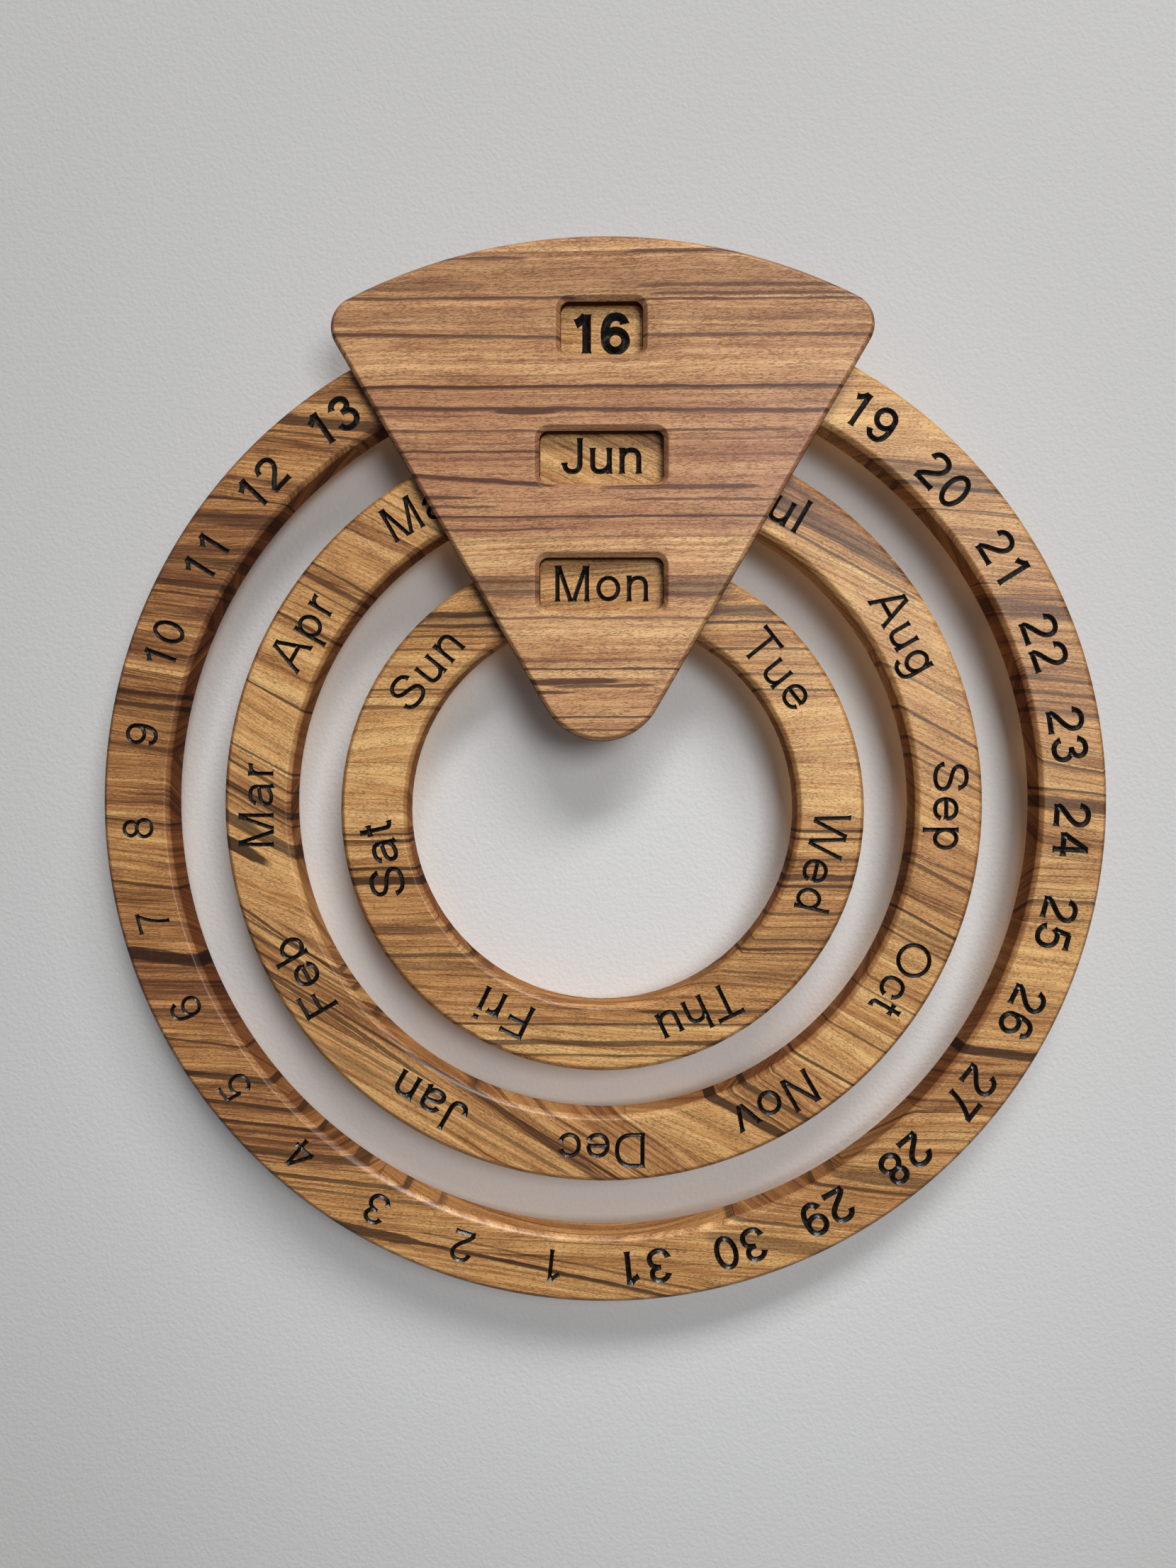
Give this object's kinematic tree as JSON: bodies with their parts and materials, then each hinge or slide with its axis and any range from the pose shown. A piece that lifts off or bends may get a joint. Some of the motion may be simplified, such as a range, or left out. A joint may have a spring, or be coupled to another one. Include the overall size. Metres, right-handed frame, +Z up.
{
  "type": "perpetual ring calendar",
  "caption": "Wall-hung perpetual calendar: nested wooden rings for date, month and weekday turn on hangers behind a sector-shaped face plate with windows.",
  "frame": {"origin": "centre of the keyhole's round entry, on the plane of the wall", "axes": "+Z up; +X to the right of someone who reads the calendar; +Y into the wall, so the face plate looks along -Y"},
  "size_m": [0.45, 0.0339, 0.4746],
  "materials": {
    "date_ring_wood": "oiled",
    "month_ring_wood": "oiled",
    "day_ring_wood": "oiled",
    "face_plate_wood": "oiled",
    "back_plate_wood": "oiled",
    "hanger_wood": "oiled",
    "zinc_plated_steel": "zinc plated"
  },
  "bodies": {
    "frame": {"back_plate": "back_plate_wood", "date_hanger": "hanger_wood", "day_hanger": "hanger_wood", "face_board_1": "face_plate_wood", "face_board_2": "face_plate_wood", "face_board_3": "face_plate_wood", "face_board_4": "face_plate_wood", "keyhole_plate": "zinc_plated_steel", "keyhole_screws": "zinc_plated_steel", "month_hanger": "hanger_wood", "plate_screws": "zinc_plated_steel"},
    "date_ring": {"date_ring_board_01": "date_ring_wood", "date_ring_board_02": "date_ring_wood", "date_ring_board_03": "date_ring_wood", "date_ring_board_04": "date_ring_wood", "date_ring_board_05": "date_ring_wood", "date_ring_board_06": "date_ring_wood", "date_ring_board_07": "date_ring_wood", "date_ring_board_08": "date_ring_wood", "date_ring_board_09": "date_ring_wood", "date_ring_board_10": "date_ring_wood", "date_ring_board_11": "date_ring_wood", "date_ring_board_12": "date_ring_wood", "date_ring_board_13": "date_ring_wood", "date_ring_board_14": "date_ring_wood", "date_ring_board_15": "date_ring_wood", "date_ring_board_16": "date_ring_wood"},
    "month_ring": {"month_ring_board_01": "month_ring_wood", "month_ring_board_02": "month_ring_wood", "month_ring_board_03": "month_ring_wood", "month_ring_board_04": "month_ring_wood", "month_ring_board_05": "month_ring_wood", "month_ring_board_06": "month_ring_wood", "month_ring_board_07": "month_ring_wood", "month_ring_board_08": "month_ring_wood", "month_ring_board_09": "month_ring_wood", "month_ring_board_10": "month_ring_wood", "month_ring_board_11": "month_ring_wood", "month_ring_board_12": "month_ring_wood"},
    "day_ring": {"day_ring_board_01": "day_ring_wood", "day_ring_board_02": "day_ring_wood", "day_ring_board_03": "day_ring_wood", "day_ring_board_04": "day_ring_wood", "day_ring_board_05": "day_ring_wood", "day_ring_board_06": "day_ring_wood", "day_ring_board_07": "day_ring_wood", "day_ring_board_08": "day_ring_wood"}
  },
  "joints": [
    {"name": "date_ring_turn", "type": "hinge", "parent": "frame", "child": "date_ring", "pos_m": [0, -0.0182, -0.2106], "axis": [0, 1, 0], "continuous": true},
    {"name": "month_ring_turn", "type": "hinge", "parent": "frame", "child": "month_ring", "pos_m": [0, -0.0182, -0.2106], "axis": [0, 1, 0], "continuous": true},
    {"name": "day_ring_turn", "type": "hinge", "parent": "frame", "child": "day_ring", "pos_m": [0, -0.0182, -0.213], "axis": [0, 1, 0], "continuous": true}
  ]
}
